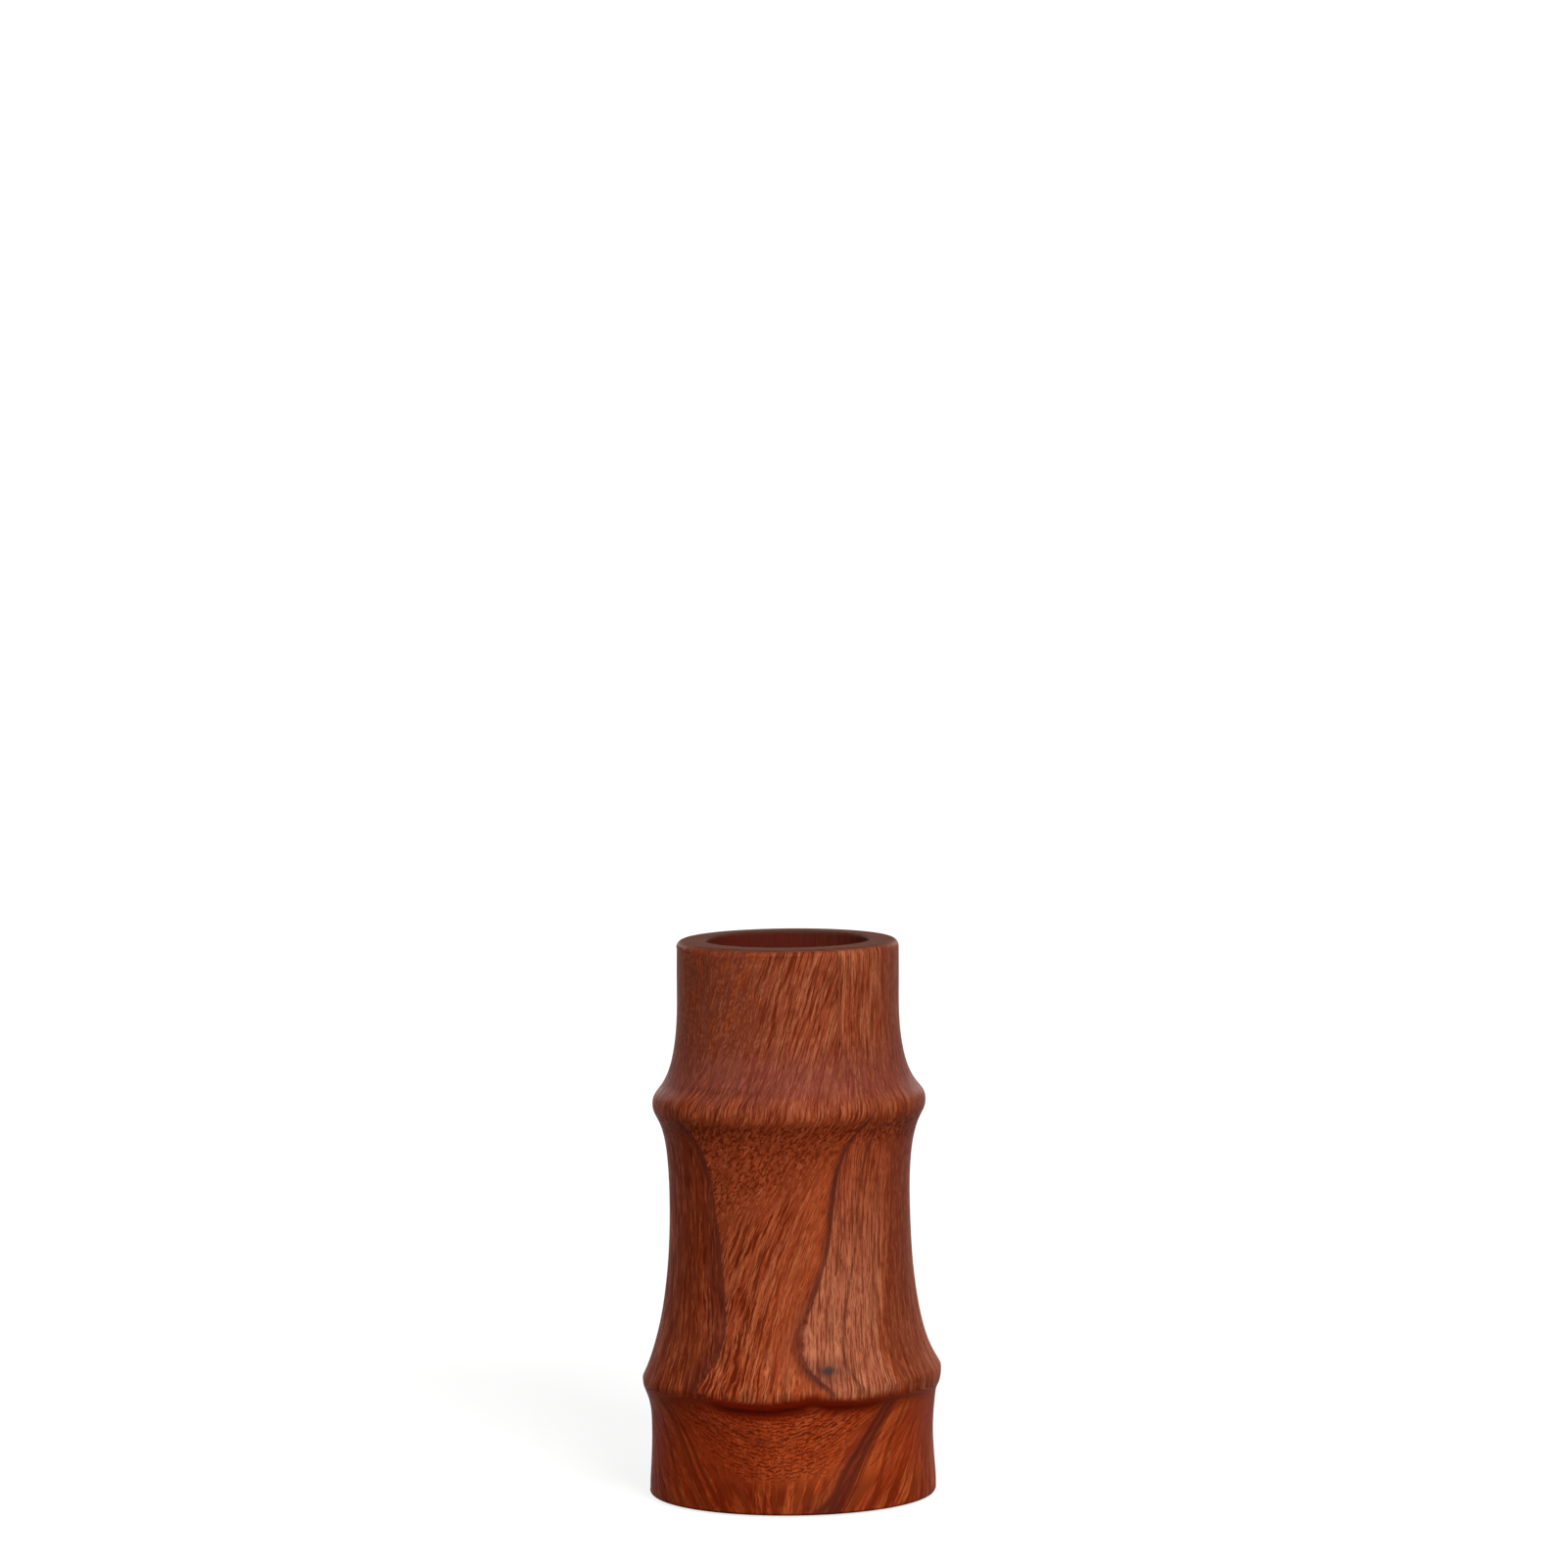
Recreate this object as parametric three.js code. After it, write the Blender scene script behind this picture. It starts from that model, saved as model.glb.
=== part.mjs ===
// A turned hardwood flower vase in the shape of a length of bamboo, with two node rings.
// The body is bored right through and closed by a base disc glued into a rebate in its foot.
// A glass water liner lifts out of the bore. It stands on a cork cushion, and the foot on felt pads.
// Millimetres, +Z up. The origin is on the table, on the vase's axis, and the front looks along -Y.
import * as THREE from "three";

// Bore, and the wood left around it at each station of the outline, from the foot up
const BORE_RADIUS = 33.5;
const FOOT_WALL = 25.5;
const LOW_WAIST_WALL = 24.5;
const LOW_RING_WALL = 28.1;
const WAIST_WALL = 16.1;
const HIGH_RING_WALL = 22.7;
const NECK_WALL = 12.2;

// Heights of the stretches of the outline, from the foot up
const FOOT_EDGE_RADIUS = 1.5;
const FOOT_UPRIGHT = 3.6;
const FOOT_TO_LOW_WAIST = 20;
const LOW_WAIST_TO_LOW_RING = 25;
const LOW_RING_TO_WAIST = 75;
const WAIST_TO_HIGH_RING = 37;
const HIGH_RING_TO_NECK = 45;
const NECK_UPRIGHT = 19;
const RIM_EDGE_RADIUS = 3;
const BORE_EDGE_RADIUS = 1.2;

// How long the wall holds upright as it leaves each station, as a share of the stretch above or below
const FOOT_HOLD_ABOVE = 0.12;
const LOW_WAIST_HOLD_BELOW = 0.25;
const LOW_WAIST_HOLD_ABOVE = 0.82;
const LOW_RING_HOLD_BELOW = 0.36;
const LOW_RING_HOLD_ABOVE = 0.04;
const WAIST_HOLD_BELOW = 0.84;
const WAIST_HOLD_ABOVE = 0.88;
const HIGH_RING_HOLD_BELOW = 0.19;
const HIGH_RING_HOLD_ABOVE = 0.2;
const NECK_HOLD_BELOW = 0.94;

// Felt pads under the foot
const PAD_COUNT = 4;
const PAD_RADIUS = 4;
const PAD_THICKNESS = 0.8;
const PAD_INSET = 1;

// Base disc in its rebate
const DISC_LEDGE = 8;
const DISC_THICKNESS = 10;
const DISC_RECESS = 1.5;
const DISC_EDGE_CHAMFER = 0.8;
const DISC_SIDE_GAP = 0.3;
const GLUE_LINE = 0.1;

// Cork cushion in the bottom of the bore
const CUSHION_THICKNESS = 3;
const CUSHION_SIDE_GAP = 1.5;

// Glass water liner
const LIP_RECESS = 8;
const LIP_SIDE_GAP = 0.6;
const LIP_FLARE = 1.2;
const LIP_SWEEP = 9;
const LIP_HOLD = 0.5;
const GLASS_WALL = 2.5;
const GLASS_FLOOR = 6;
const GLASS_HEEL_RADIUS = 4;
const GLASS_INSIDE_RADIUS = 3;
const LINER_SEAT_GAP = 0.1;

// Facets
const BODY_SIDES = 48;
const PAD_SIDES = 24;
const SIDE_STEPS = 7;
const EDGE_STEPS = 4;

// Heights and radii that follow from those sizes
const footUnderside = PAD_THICKNESS + GLUE_LINE;
const footRadius = BORE_RADIUS + FOOT_WALL;
const neckRadius = BORE_RADIUS + NECK_WALL;
const footEdge = Math.min(FOOT_EDGE_RADIUS, (FOOT_WALL - DISC_LEDGE) / 2);
const rimEdge = Math.min(RIM_EDGE_RADIUS, NECK_WALL / 2);
const boreEdge = Math.min(BORE_EDGE_RADIUS, NECK_WALL / 3);
const stations = sideStations();
const neckHeight = stations.at(-1).height;
const rimHeight = neckHeight + NECK_UPRIGHT + RIM_EDGE_RADIUS;
const discRadius = BORE_RADIUS + DISC_LEDGE;
const discUnderside = footUnderside + DISC_RECESS;
const discTop = discUnderside + DISC_THICKNESS;
const boreFloor = discTop + GLUE_LINE;
const cushionTop = boreFloor + CUSHION_THICKNESS;
const linerFoot = cushionTop + LINER_SEAT_GAP;
const linerRim = rimHeight - LIP_RECESS;
const lipRadius = BORE_RADIUS - LIP_SIDE_GAP;

// Stations of the turned side, from the foot to the neck: each rises above the one before it.
function sideStations() {
  const climb = [
    [FOOT_WALL, footUnderside + FOOT_EDGE_RADIUS + FOOT_UPRIGHT, 0, FOOT_HOLD_ABOVE],
    [LOW_WAIST_WALL, FOOT_TO_LOW_WAIST, LOW_WAIST_HOLD_BELOW, LOW_WAIST_HOLD_ABOVE],
    [LOW_RING_WALL, LOW_WAIST_TO_LOW_RING, LOW_RING_HOLD_BELOW, LOW_RING_HOLD_ABOVE],
    [WAIST_WALL, LOW_RING_TO_WAIST, WAIST_HOLD_BELOW, WAIST_HOLD_ABOVE],
    [HIGH_RING_WALL, WAIST_TO_HIGH_RING, HIGH_RING_HOLD_BELOW, HIGH_RING_HOLD_ABOVE],
    [NECK_WALL, HIGH_RING_TO_NECK, NECK_HOLD_BELOW, 0],
  ];
  let height = 0;
  return climb.map(([wall, rise, holdBelow, holdAbove]) => {
    height += rise;
    return { radius: BORE_RADIUS + wall, height, holdBelow, holdAbove };
  });
}

// A sweep from one station to the next, upright at both ends.
function sweep(low, high, steps) {
  const rise = high.height - low.height;
  const curve = new THREE.CubicBezierCurve(
    new THREE.Vector2(low.radius, low.height),
    new THREE.Vector2(low.radius, low.height + low.holdAbove * rise),
    new THREE.Vector2(high.radius, high.height - high.holdBelow * rise),
    new THREE.Vector2(high.radius, high.height),
  );
  return curve.getPoints(steps);
}

// A round edge about a centre, between two angles in degrees.
function edge(centreRadius, centreHeight, radius, fromDegrees, toDegrees) {
  const start = THREE.MathUtils.degToRad(fromDegrees);
  const end = THREE.MathUtils.degToRad(toDegrees);
  const arc = new THREE.EllipseCurve(
    centreRadius, centreHeight, radius, radius, start, end, toDegrees < fromDegrees,
  );
  return arc.getPoints(EDGE_STEPS);
}

function corner(radius, height) {
  return new THREE.Vector2(radius, height);
}

// Neighbouring curves share their end points, and the outline keeps one of each.
function withoutRepeats(outline) {
  const closeness = 1e-6;
  return outline.filter((point, i) => i === 0 || point.distanceTo(outline[i - 1]) > closeness);
}

// A solid of revolution about Z from an outline of radius against height, drawn anticlockwise.
function turned(name, outline, material, sides = BODY_SIDES) {
  const geometry = new THREE.LatheGeometry(withoutRepeats(outline), sides);
  geometry.rotateX(Math.PI / 2);
  const mesh = new THREE.Mesh(geometry, material);
  mesh.name = name;
  return mesh;
}

const redHardwood = new THREE.MeshStandardMaterial({ color: 0x8a4429, roughness: 0.45, metalness: 0 });
const clearGlass = new THREE.MeshStandardMaterial({
  color: 0xdfe8e4, roughness: 0.05, metalness: 0, transparent: true, opacity: 0.35,
});
const cork = new THREE.MeshStandardMaterial({ color: 0xb58a5a, roughness: 0.9, metalness: 0 });
const brownFelt = new THREE.MeshStandardMaterial({ color: 0x4a3a30, roughness: 1, metalness: 0 });

// Wooden body: up the turned side, over the rim, down the bore and out along the rebate.
function makeBody() {
  const side = stations.slice(1).flatMap((high, i) => sweep(stations[i], high, SIDE_STEPS));
  const outline = [
    corner(discRadius, footUnderside),
    ...edge(footRadius - footEdge, footUnderside + footEdge, footEdge, -90, 0),
    ...side,
    ...edge(neckRadius - rimEdge, rimHeight - rimEdge, rimEdge, 0, 90),
    ...edge(BORE_RADIUS + boreEdge, rimHeight - boreEdge, boreEdge, 90, 180),
    corner(BORE_RADIUS, boreFloor),
    corner(discRadius, boreFloor),
    corner(discRadius, footUnderside),
  ];
  return turned("vase_body", outline, redHardwood);
}

// Base disc, with a chamfer round its lower edge.
function makeBaseDisc() {
  const radius = discRadius - DISC_SIDE_GAP;
  const outline = [
    corner(0, discUnderside),
    corner(radius - DISC_EDGE_CHAMFER, discUnderside),
    corner(radius, discUnderside + DISC_EDGE_CHAMFER),
    corner(radius, discTop),
    corner(0, discTop),
  ];
  return turned("base_disc", outline, redHardwood);
}

function makeLinerCushion() {
  const radius = BORE_RADIUS - CUSHION_SIDE_GAP;
  const outline = [
    corner(0, boreFloor),
    corner(radius, boreFloor),
    corner(radius, cushionTop),
    corner(0, cushionTop),
  ];
  return turned("liner_cushion", outline, cork);
}

// Water liner: a straight glass tube with a thick floor and a flared, rounded lip.
function makeWaterLiner() {
  const lipRound = GLASS_WALL / 2;
  const outerRadius = lipRadius - LIP_FLARE;
  const innerRadius = outerRadius - GLASS_WALL;
  const insideFloor = linerFoot + GLASS_FLOOR;
  const lipHeight = linerRim - lipRound;
  const sweepFoot = lipHeight - LIP_SWEEP;
  const outside = sweep(
    { radius: outerRadius, height: sweepFoot, holdAbove: LIP_HOLD },
    { radius: lipRadius, height: lipHeight, holdBelow: LIP_HOLD },
    EDGE_STEPS,
  );
  const inside = sweep(
    { radius: innerRadius, height: sweepFoot, holdAbove: LIP_HOLD },
    { radius: lipRadius - GLASS_WALL, height: lipHeight, holdBelow: LIP_HOLD },
    EDGE_STEPS,
  );
  const heel = GLASS_HEEL_RADIUS;
  const hollow = GLASS_INSIDE_RADIUS;
  const outline = [
    corner(0, linerFoot),
    ...edge(outerRadius - heel, linerFoot + heel, heel, -90, 0),
    ...outside,
    ...edge(lipRadius - lipRound, lipHeight, lipRound, 0, 180),
    ...inside.reverse(),
    ...edge(innerRadius - hollow, insideFloor + hollow, hollow, 0, -90),
    corner(0, insideFloor),
  ];
  return turned("water_liner", outline, clearGlass);
}

// Felt pads, spread evenly round the inner edge of the foot's flat underside, where they don't show.
function makePads() {
  const ringRadius = discRadius + PAD_INSET + PAD_RADIUS;
  const outline = [
    corner(0, 0),
    corner(PAD_RADIUS, 0),
    corner(PAD_RADIUS, PAD_THICKNESS),
    corner(0, PAD_THICKNESS),
  ];
  return Array.from({ length: PAD_COUNT }, (_, i) => {
    const pad = turned(`foot_pad_${i + 1}`, outline, brownFelt, PAD_SIDES);
    const angle = (2 * Math.PI * (i + 0.5)) / PAD_COUNT;
    pad.position.set(ringRadius * Math.cos(angle), ringRadius * Math.sin(angle), 0);
    return pad;
  });
}

const vase = new THREE.Group();
vase.name = "bamboo_shaped_vase";
vase.add(makeBody(), makeBaseDisc(), makeLinerCushion(), makeWaterLiner(), ...makePads());

export default vase;
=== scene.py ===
"""Looks of a turned hardwood flower vase: a bored body with two bamboo node rings, a base disc,
a cork cushion, a lift-out glass water liner and felt pads.
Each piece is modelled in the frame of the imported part."""
import math
from types import SimpleNamespace

import bmesh
import bpy
from bpy.props import FloatProperty, FloatVectorProperty, IntProperty, PointerProperty
from mathutils import Matrix, Vector


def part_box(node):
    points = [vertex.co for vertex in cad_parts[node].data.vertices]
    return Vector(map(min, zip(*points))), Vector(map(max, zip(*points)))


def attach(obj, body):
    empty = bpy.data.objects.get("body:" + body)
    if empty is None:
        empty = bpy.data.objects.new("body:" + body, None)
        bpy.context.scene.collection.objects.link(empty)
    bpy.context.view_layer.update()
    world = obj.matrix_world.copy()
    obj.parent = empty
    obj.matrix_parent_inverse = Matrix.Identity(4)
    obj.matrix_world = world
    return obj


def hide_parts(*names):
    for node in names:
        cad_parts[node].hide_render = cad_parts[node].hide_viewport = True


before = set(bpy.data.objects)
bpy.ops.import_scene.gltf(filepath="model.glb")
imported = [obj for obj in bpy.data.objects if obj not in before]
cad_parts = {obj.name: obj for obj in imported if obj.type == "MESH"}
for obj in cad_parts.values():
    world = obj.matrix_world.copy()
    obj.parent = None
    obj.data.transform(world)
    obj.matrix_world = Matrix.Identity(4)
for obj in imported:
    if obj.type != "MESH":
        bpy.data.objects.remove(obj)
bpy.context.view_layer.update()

bl_info = {
    "name": "Turned Hardwood Vase",
    "version": (1, 0, 0),
    "blender": (4, 5, 0),
    "location": "View3D > Sidebar > Vase",
    "description": "Models a turned hardwood flower vase with its liner, and the stage that it is shown on",
    "category": "Object",
}

MM = 0.001
WELD = 0.01 * MM
ROUND_HANDLE = 0.5523   # handle of a Bezier quarter circle, as a share of its radius
SOFT_ANGLE = math.radians(40)   # edges flatter than this are shaded smooth

BODY_LOW, BODY_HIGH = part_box("vase_body")
DISC_LOW, DISC_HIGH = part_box("base_disc")
CUSHION_LOW, CUSHION_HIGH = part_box("liner_cushion")
LINER_LOW, LINER_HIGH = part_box("water_liner")
PAD_NAMES = sorted(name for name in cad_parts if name.startswith("foot_pad"))
PAD_LOW, PAD_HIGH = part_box(PAD_NAMES[0])


def linear(hex_colour):
    """Turns an sRGB hex colour into the linear red, green and blue that shaders take."""
    channels = [int(hex_colour[i:i + 2], 16) / 255 for i in (0, 2, 4)]
    return tuple(c / 12.92 if c <= 0.04045 else ((c + 0.055) / 1.055) ** 2.4 for c in channels)


def length(name, description, default):
    """A size that a maker would change, in metres."""
    return FloatProperty(
        name=name, description=description, default=default, min=0, unit="LENGTH", precision=5)


def turn(name, description, degrees):
    """An angle, given in degrees and kept in radians."""
    return FloatProperty(name=name, description=description, default=math.radians(degrees), subtype="ANGLE")


def colour(name, description, hex_colour):
    """A colour of the finish, given as sRGB hex and kept linear."""
    return FloatVectorProperty(
        name=name, description=description, default=linear(hex_colour), size=3, min=0, max=1, subtype="COLOR")


class VaseSizes(bpy.types.PropertyGroup):
    """Sizes of the vase's pieces."""
    bore_radius: length("Bore radius", "Radius of the bore through the body", 33.5 * MM)
    foot_radius: length("Foot radius", "Radius of the side just above the foot", 59 * MM)
    low_waist_radius: length("Low waist radius", "Radius below the low ring", 58 * MM)
    low_ring_radius: length("Low ring radius", "Radius of the low ring's crest", BODY_HIGH.x)
    waist_radius: length("Waist radius", "Radius between the two rings", 49.6 * MM)
    high_ring_radius: length("High ring radius", "Radius of the high ring's crest", 56.2 * MM)
    neck_radius: length("Neck radius", "Radius of the neck under the rim", 45.7 * MM)
    foot_height: length("Foot height", "Height where the side leaves the foot", 6 * MM)
    low_waist_height: length("Low waist height", "Height of the low waist", 26 * MM)
    low_ring_height: length("Low ring height", "Height of the low ring's crest", 51 * MM)
    waist_height: length("Waist height", "Height of the waist", 126 * MM)
    high_ring_height: length("High ring height", "Height of the high ring's crest", 163 * MM)
    neck_height: length("Neck height", "Height where the neck turns straight", 208 * MM)
    foot_edge: length("Foot edge", "Round of the foot's lower edge", 1.5 * MM)
    rim_edge: length("Rim edge", "Round of the rim's outer edge", 3 * MM)
    bore_edge: length("Bore edge", "Round of the rim's inner edge", 1.2 * MM)
    low_ring_tilt: turn("Low ring tilt", "How far the low ring tips to one side", 1.8)
    high_ring_tilt: turn("High ring tilt", "How far the high ring tips to one side", 0.45)
    hand_waver: length("Hand waver", "How far the hand-finished side strays from true", 0.5 * MM)
    lip_cut: length("Lip cut", "How far the wood is cut in under the low ring", 1.3 * MM)
    disc_gap: length("Disc gap", "Gap round the base disc in its rebate", 0.3 * MM)
    disc_chamfer: length("Disc chamfer", "Chamfer of the base disc's lower edge", 0.8 * MM)
    cork_round: length("Cork round", "Soft edge of the cork cushion", 0.4 * MM)
    glass_wall: length("Glass wall", "Thickness of the liner's wall", 2.5 * MM)
    glass_floor: length("Glass floor", "Thickness of the liner's floor", 6 * MM)
    lip_flare: length("Lip flare", "How far the liner's lip stands out from its wall", 1.2 * MM)
    lip_sweep: length("Lip sweep", "Height over which the liner flares out", 9 * MM)
    heel_round: length("Heel round", "Round of the liner's lower edge", 4 * MM)
    hollow_round: length("Hollow round", "Round of the liner's inside corner", 3 * MM)
    pad_round: length("Pad round", "Soft edge of a felt pad", 0.25 * MM)
    body_sides: IntProperty(
        name="Body sides", description="Steps of the body round the axis", default=176, min=24)


class VaseColours(bpy.types.PropertyGroup):
    """Colours of the vase's finishes."""
    wood_dark: colour("Dark wood", "Late wood, pores and the shaded streaks", "561604")
    wood_red: colour("Red wood", "The wood's main tone", "963f20")
    wood_light: colour("Light wood", "Pale fibres", "c3744c")
    wood_pale: colour("Pale wood", "Pinkish wood behind the main line", "b8765a")
    wood_orange: colour("Orange wood", "Warm wood beside the main line", "9c4321")
    wood_shade: colour("Shaded wood", "Dark wood left of the main line", "7a2c10")
    wood_plain: colour("Plain wood", "Even wood with little figure", "6e2c1a")
    wood_neck: colour("Neck wood", "Duller wood of the neck", "7c402e")
    # Painted shade: darkens the hollows under both rings and the left side of the foot
    painted_shade_wood: colour("Painted shade", "Painted shade in the hollows under the rings and on the foot's left side", "6c1604")
    wood_foot: colour("Foot wood", "Redder wood of the foot", "a03412")
    wood_flame: colour("Flamed wood", "Warm streaks of the foot", "c05a2a")
    # Real growth lines and knot halo, and also painted shade in the bore and along the crease above the high
    # ring
    wood_line_and_painted_shade: colour("Grain line", "Dark purplish growth lines, also painted shade in the bore and the crease", "431c18")
    # Painted sheen: a purplish highlight laid in the cove above the high ring
    painted_sheen_wood: colour("Painted sheen", "Purplish painted sheen in the cove", "763a34")
    # Darker end grain of the rim, greyed by a painted sheen
    wood_end_and_painted_sheen: colour("End grain", "Darker end grain of the cut rim, greyed by a painted sheen", "46362c")
    knot: colour("Knot", "Grey heart of the small knot", "3a2f30")
    cork_pale: colour("Pale cork", "Cork granules", "b98f61")
    cork_dark: colour("Dark cork", "Binder and bark specks", "6e4a2c")
    felt_pale: colour("Pale felt", "Loose fibres of the felt", "5f4c40")
    felt_dark: colour("Dark felt", "Ground of the felt", "3b2e27")
    glass: colour("Glass", "Tint of the liner's glass", "e6eeea")
    floor: colour("Floor", "Studio paper as the lamps light it for the camera", "7b7b7a")
    floor_bounce: colour("Floor bounce", "Studio paper as it throws light back on the wood", "4c4c4a")


class VaseView(bpy.types.PropertyGroup):
    """Where the photograph was taken from."""
    distance: length("Distance", "How far in front of the vase the camera stands", 2.995)
    height: length("Height", "Height of the camera above the table", 0.54)
    aside: FloatProperty(
        name="Aside", description="Camera's place to the right", default=-0.0007, unit="LENGTH")
    pitch: turn("Pitch", "How far the camera looks down", 4.699)
    roll: turn("Roll", "How far the camera is rolled", 0.59)
    lens: FloatProperty(name="Lens", description="Focal length in mm", default=168.31, unit="CAMERA")


# Shared steps of modelling

def lathe_piece(name, outline, sides, steps, closed):
    """Draws half a section as a Bezier curve, makes it a mesh and spins it round the upright axis.
    Each point of the outline is its radius and height, and the reach of its handles behind and ahead."""
    bpy.ops.object.select_all(action="DESELECT")
    bpy.ops.curve.primitive_bezier_curve_add(location=(0, 0, 0))
    piece = bpy.context.object
    piece.name = name
    piece.data.name = name
    piece.data.dimensions = "3D"
    piece.data.resolution_u = steps
    spline = piece.data.splines[0]
    spline.use_cyclic_u = closed
    spline.bezier_points.add(len(outline) - len(spline.bezier_points))
    for point, (place, behind, ahead) in zip(spline.bezier_points, outline):
        point.handle_left_type = "FREE"
        point.handle_right_type = "FREE"
        point.co = (place[0], 0, place[1])
        point.handle_left = (place[0] + behind[0], 0, place[1] + behind[1])
        point.handle_right = (place[0] + ahead[0], 0, place[1] + ahead[1])
    bpy.ops.object.convert(target="MESH")
    bpy.ops.object.mode_set(mode="EDIT")
    bpy.ops.mesh.select_all(action="SELECT")
    bpy.ops.mesh.remove_doubles(threshold=WELD)
    bpy.ops.mesh.spin(steps=sides, angle=math.tau, center=(0, 0, 0), axis=(0, 0, 1))
    close_mesh()
    return piece


def cut_disc(name, radius, low, high, sides, edge_round):
    """Cuts a flat disc between two heights on the axis, and softens its edges."""
    bpy.ops.object.select_all(action="DESELECT")
    bpy.ops.mesh.primitive_cylinder_add(
        vertices=sides, radius=radius, depth=high - low, location=(0, 0, (low + high) / 2))
    piece = bpy.context.object
    piece.name = name
    bpy.ops.object.transform_apply(location=True, rotation=True, scale=True)
    bpy.ops.object.mode_set(mode="EDIT")
    bpy.ops.mesh.select_all(action="SELECT")
    bpy.ops.mesh.bevel(offset=edge_round, segments=4, affect="EDGES")
    close_mesh()
    return piece


def close_mesh():
    """Merges doubles of the mesh in edit mode, points its faces out and shades it smooth."""
    bpy.ops.mesh.select_all(action="SELECT")
    bpy.ops.mesh.remove_doubles(threshold=WELD)
    bpy.ops.mesh.normals_make_consistent(inside=False)
    bpy.ops.object.mode_set(mode="OBJECT")
    bpy.ops.object.shade_smooth_by_angle(angle=SOFT_ANGLE)


def corner(radius, height):
    """A sharp corner of an outline."""
    return (radius, height), (0, 0), (0, 0)


def finish_piece(piece, material, body, slot, *nodes):
    """Gives a piece its finish, ties it to the body it rides on, and hides the parts that it stands for."""
    piece.data.materials.clear()
    piece.data.materials.append(material)
    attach(piece, body)
    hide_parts(*nodes)


# Wooden body

# How long the side holds upright below and above each station, as shares of the stretches there
HOLDS = {
    "foot": (0, 0.12),
    "low_waist": (0.25, 0.82),
    "low_ring": (0.36, 0.04),
    "waist": (0.84, 0.88),
    "high_ring": (0.19, 0.2),
    "neck": (0.94, 0),
}
RING_CREST = 0.5 * MM     # half height of the band that is taken hold of to tip a ring
RING_REACH = 24 * MM      # how far from a ring's crest the wood tips with it
PAINTED_LIP_SHADE = "painted_lip_shade"     # attribute: how much painted shade darkens the wood under the low ring's lip
LIP_REACH = 9 * MM        # how far below the lip the cut runs out
LIP_EDGE = 3.4 * MM       # height over which the lip turns under
LIP_SHADE = 4.5 * MM      # height above the lip over which the painted shade sets in
# The hand-cut lip rises and falls round the ring: degrees from the front, height in mm, share of the full cut
LIP = ((-180, 46.5, 0.4), (-130, 47.6, 0.3), (-74, 47.0, 0.3), (-37, 48.2, 0.5), (-23, 45.2, 0.9),
       (-10, 44.6, 1.0), (0, 46.0, 1.0), (8, 48.2, 0.7), (15, 46.4, 0.8), (28, 46.0, 0.7), (43, 47.8, 0.5),
       (70, 47.2, 0.3), (120, 45.8, 0.4), (180, 46.5, 0.4))
WAVER_SIZE = 45 * MM      # width of the swells that hand sanding leaves


def side_stations(sizes):
    """The turned side as points of an outline, from the foot to the neck."""
    places = [(getattr(sizes, f"{name}_radius"), getattr(sizes, f"{name}_height")) for name in HOLDS]
    lower = places[:1] + places[:-1]
    upper = places[1:] + places[-1:]
    return [
        (place, (0, below * (under[1] - place[1])), (0, above * (over[1] - place[1])))
        for place, under, over, (below, above) in zip(places, lower, upper, HOLDS.values())
    ]


def body_outline(sizes):
    """Half section of the body: up the turned side, over the rim, down the bore and out along the rebate."""
    foot = BODY_LOW.z
    rim = BODY_HIGH.z
    rebate_radius = DISC_HIGH.x + sizes.disc_gap
    shoulder = CUSHION_LOW.z
    foot_handle = ROUND_HANDLE * sizes.foot_edge
    rim_handle = ROUND_HANDLE * sizes.rim_edge
    bore_handle = ROUND_HANDLE * sizes.bore_edge
    return [
        corner(rebate_radius, foot),
        ((sizes.foot_radius - sizes.foot_edge, foot), (0, 0), (foot_handle, 0)),
        ((sizes.foot_radius, foot + sizes.foot_edge), (0, -foot_handle), (0, 0)),
        *side_stations(sizes),
        ((sizes.neck_radius, rim - sizes.rim_edge), (0, 0), (0, rim_handle)),
        ((sizes.neck_radius - sizes.rim_edge, rim), (rim_handle, 0), (0, 0)),
        ((sizes.bore_radius + sizes.bore_edge, rim), (0, 0), (-bore_handle, 0)),
        ((sizes.bore_radius, rim - sizes.bore_edge), (0, bore_handle), (0, 0)),
        corner(sizes.bore_radius, shoulder),
        corner(rebate_radius, shoulder),
    ]


def outside(point, sizes):
    """Whether a point of the body is on its turned side, and not in the bore or the rebate."""
    return math.hypot(point.x, point.y) > sizes.neck_radius - sizes.rim_edge


def tip_ring(piece, sizes, height, tilt):
    """Tips a ring about the front-to-back axis, and lets the wood near it follow."""
    bpy.ops.object.mode_set(mode="EDIT")
    bpy.ops.mesh.select_mode(type="VERT")
    bpy.ops.mesh.select_all(action="DESELECT")
    mesh = bmesh.from_edit_mesh(piece.data)
    for vertex in mesh.verts:
        vertex.select = outside(vertex.co, sizes) and abs(vertex.co.z - height) < RING_CREST
    mesh.select_flush_mode()
    bmesh.update_edit_mesh(piece.data)
    bpy.ops.transform.rotate(
        value=tilt, orient_axis="Y", center_override=(0, 0, height), use_proportional_edit=True,
        proportional_edit_falloff="SMOOTH", proportional_size=RING_REACH)
    bpy.ops.object.mode_set(mode="OBJECT")


def smooth_step(share):
    """Eases a share from 0 to 1."""
    share = min(max(share, 0), 1)
    return share * share * (3 - 2 * share)


def lip_at(point):
    """Height of the low ring's lip at a point's place round the axis, and how deep it is cut there."""
    degrees = math.degrees(math.atan2(point.x, -point.y))
    for (start, low, shallow), (end, high, deep) in zip(LIP, LIP[1:]):
        if start <= degrees <= end:
            step = smooth_step((degrees - start) / (end - start))
            return (low + (high - low) * step) * MM, shallow + (deep - shallow) * step
    raise ValueError(f"The lip has no height at {degrees:.1f} degrees")


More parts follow.
